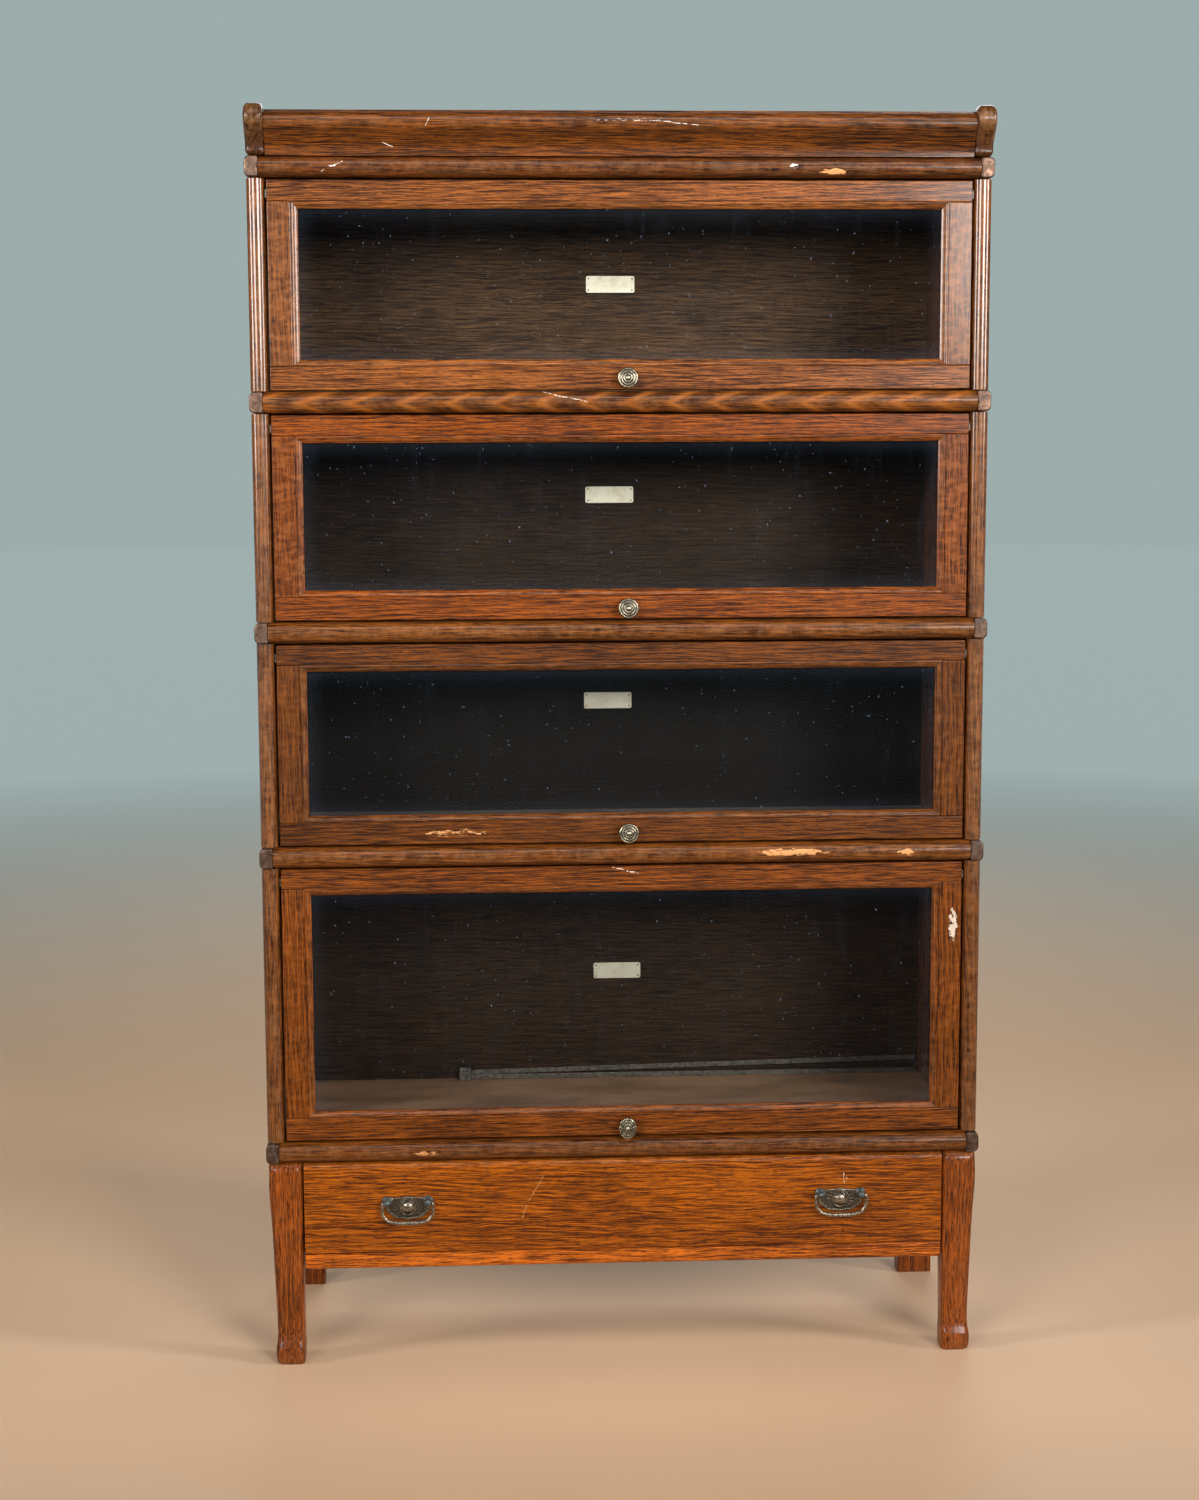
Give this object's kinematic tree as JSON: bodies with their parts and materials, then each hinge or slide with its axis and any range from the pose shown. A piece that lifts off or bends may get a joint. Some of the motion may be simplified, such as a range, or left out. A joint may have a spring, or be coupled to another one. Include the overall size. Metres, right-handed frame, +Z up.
{
  "type": "barrister bookcase",
  "caption": "Stacked sectional oak bookcase with lift-and-slide glazed doors, moulded cornice and a drawer base on short shaped legs.",
  "frame": {"origin": "on the floor, under the middle of the bounding box", "axes": "+Z up, the front with its doors and drawer faces -Y, +X is to the viewer's right"},
  "size_m": [0.864, 0.324, 1.4944],
  "materials": {
    "oak_case": "dark stained open-pore oak, satin polish, worn on the edges",
    "oak_rail": "dark stained oak with the grain along the rail, polished bullnose with a few chips to bare wood",
    "oak_door": "stained quarter-sawn oak, satin polish",
    "oak_drawer": "lighter orange-brown stained oak, satin polish",
    "oak_inside": "dark unpolished oak inside, dusty on the floor",
    "glass": "old clear sheet glass, slightly dusty",
    "band_copper": "oxidised copper-plated steel",
    "knob_brass": "worn nickel-plated brass",
    "handle_bronze": "blackened bronze with green tarnish",
    "steel": "dull grey steel strip",
    "label_ivory": "small blank ivory plate with brass pins"
  },
  "bodies": {
    "case": {"section_1_side_left": "oak_case", "section_1_side_right": "oak_case", "section_1_back_panel": "oak_inside", "section_1_floor": "oak_inside", "section_1_front_rail": "oak_rail", "section_2_side_left": "oak_case", "section_2_side_right": "oak_case", "section_2_back_panel": "oak_inside", "section_2_floor": "oak_inside", "section_2_front_rail": "oak_rail", "section_3_side_left": "oak_case", "section_3_side_right": "oak_case", "section_3_back_panel": "oak_inside", "section_3_floor": "oak_inside", "section_3_front_rail": "oak_rail", "section_4_side_left": "oak_case", "section_4_side_right": "oak_case", "section_4_back_panel": "oak_inside", "section_4_floor": "oak_inside", "section_4_front_rail": "oak_rail", "cornice_rail": "oak_rail", "cornice_bracket_left": "oak_case", "cornice_bracket_right": "oak_case", "cornice_moulding": "oak_rail", "top_board": "oak_case", "front_leg_left": "oak_case", "front_leg_right": "oak_case", "back_leg_left": "oak_case", "back_leg_right": "oak_case", "base_frame": "oak_case", "base_apron": "oak_drawer", "loose_equaliser": "steel"},
    "door_1_carriage": {"door_1_hanger": "steel"},
    "door_1": {"door_1_frame": "oak_door", "door_1_glass": "glass", "door_1_knob": "knob_brass"},
    "equaliser_1_arm_front": {"equaliser_1_arm_front": "steel"},
    "equaliser_1_arm_back": {"equaliser_1_arm_back": "steel"},
    "door_2_carriage": {"door_2_hanger": "steel"},
    "door_2": {"door_2_frame": "oak_door", "door_2_glass": "glass", "door_2_knob": "knob_brass"},
    "equaliser_2_arm_front": {"equaliser_2_arm_front": "steel"},
    "equaliser_2_arm_back": {"equaliser_2_arm_back": "steel"},
    "door_3_carriage": {"door_3_hanger": "steel"},
    "door_3": {"door_3_frame": "oak_door", "door_3_glass": "glass", "door_3_knob": "knob_brass"},
    "equaliser_3_arm_front": {"equaliser_3_arm_front": "steel"},
    "equaliser_3_arm_back": {"equaliser_3_arm_back": "steel"},
    "door_4_carriage": {"door_4_hanger": "steel"},
    "door_4": {"door_4_frame": "oak_door", "door_4_glass": "glass", "door_4_knob": "knob_brass"},
    "drawer": {"drawer_front": "oak_drawer", "drawer_box": "oak_inside", "handle_plate_left": "handle_bronze", "handle_plate_right": "handle_bronze"},
    "bail_left": {"bail_left": "handle_bronze"},
    "bail_right": {"bail_right": "handle_bronze"}
  },
  "joints": [
    {"name": "door_1_slide", "type": "slide", "parent": "case", "child": "door_1_carriage", "axis": [0, 1, 0], "range_m": [0, 0.175]},
    {"name": "door_1_hinge", "type": "hinge", "parent": "door_1_carriage", "child": "door_1", "pos_m": [0, -0.126, 1.397], "axis": [-1, 0, 0], "range_deg": [0, 90]},
    {"name": "equaliser_1_front_pivot", "type": "hinge", "parent": "door_1_carriage", "child": "equaliser_1_arm_front", "pos_m": [-0.3, -0.104, 1.416], "axis": [0, 0, 1], "range_deg": [-17.3, 0]},
    {"name": "equaliser_1_back_pivot", "type": "hinge", "parent": "case", "child": "equaliser_1_arm_back", "pos_m": [-0.3, 0.116, 1.4185], "axis": [0, 0, 1], "range_deg": [0, 17.3]},
    {"name": "door_2_slide", "type": "slide", "parent": "case", "child": "door_2_carriage", "axis": [0, 1, 0], "range_m": [0, 0.175]},
    {"name": "door_2_hinge", "type": "hinge", "parent": "door_2_carriage", "child": "door_2", "pos_m": [0, -0.126, 1.13], "axis": [-1, 0, 0], "range_deg": [0, 90]},
    {"name": "equaliser_2_front_pivot", "type": "hinge", "parent": "door_2_carriage", "child": "equaliser_2_arm_front", "pos_m": [-0.3, -0.104, 1.149], "axis": [0, 0, 1], "range_deg": [-17.3, 0]},
    {"name": "equaliser_2_back_pivot", "type": "hinge", "parent": "case", "child": "equaliser_2_arm_back", "pos_m": [-0.3, 0.116, 1.1515], "axis": [0, 0, 1], "range_deg": [0, 17.3]},
    {"name": "door_3_slide", "type": "slide", "parent": "case", "child": "door_3_carriage", "axis": [0, 1, 0], "range_m": [0, 0.175]},
    {"name": "door_3_hinge", "type": "hinge", "parent": "door_3_carriage", "child": "door_3", "pos_m": [0, -0.126, 0.863], "axis": [-1, 0, 0], "range_deg": [0, 90]},
    {"name": "equaliser_3_front_pivot", "type": "hinge", "parent": "door_3_carriage", "child": "equaliser_3_arm_front", "pos_m": [-0.3, -0.104, 0.882], "axis": [0, 0, 1], "range_deg": [-17.3, 0]},
    {"name": "equaliser_3_back_pivot", "type": "hinge", "parent": "case", "child": "equaliser_3_arm_back", "pos_m": [-0.3, 0.116, 0.8845], "axis": [0, 0, 1], "range_deg": [0, 17.3]},
    {"name": "door_4_slide", "type": "slide", "parent": "case", "child": "door_4_carriage", "axis": [0, 1, 0], "range_m": [0, 0.215]},
    {"name": "door_4_hinge", "type": "hinge", "parent": "door_4_carriage", "child": "door_4", "pos_m": [0, -0.126, 0.596], "axis": [-1, 0, 0], "range_deg": [0, 90]},
    {"name": "drawer_slide", "type": "slide", "parent": "case", "child": "drawer", "axis": [0, -1, 0], "range_m": [0, 0.18]},
    {"name": "bail_left_hinge", "type": "hinge", "parent": "drawer", "child": "bail_left", "pos_m": [-0.263, -0.1493, 0.203], "axis": [-1, 0, 0], "range_deg": [0, 85]},
    {"name": "bail_right_hinge", "type": "hinge", "parent": "drawer", "child": "bail_right", "pos_m": [0.263, -0.1493, 0.203], "axis": [-1, 0, 0], "range_deg": [0, 85]}
  ],
  "couplings": [
    {"joint": "equaliser_1_front_pivot", "follows": "door_1_slide", "rad_per_m": -1.725},
    {"joint": "equaliser_1_back_pivot", "follows": "door_1_slide", "rad_per_m": 1.725},
    {"joint": "equaliser_2_front_pivot", "follows": "door_2_slide", "rad_per_m": -1.725},
    {"joint": "equaliser_2_back_pivot", "follows": "door_2_slide", "rad_per_m": 1.725},
    {"joint": "equaliser_3_front_pivot", "follows": "door_3_slide", "rad_per_m": -1.725},
    {"joint": "equaliser_3_back_pivot", "follows": "door_3_slide", "rad_per_m": 1.725}
  ]
}
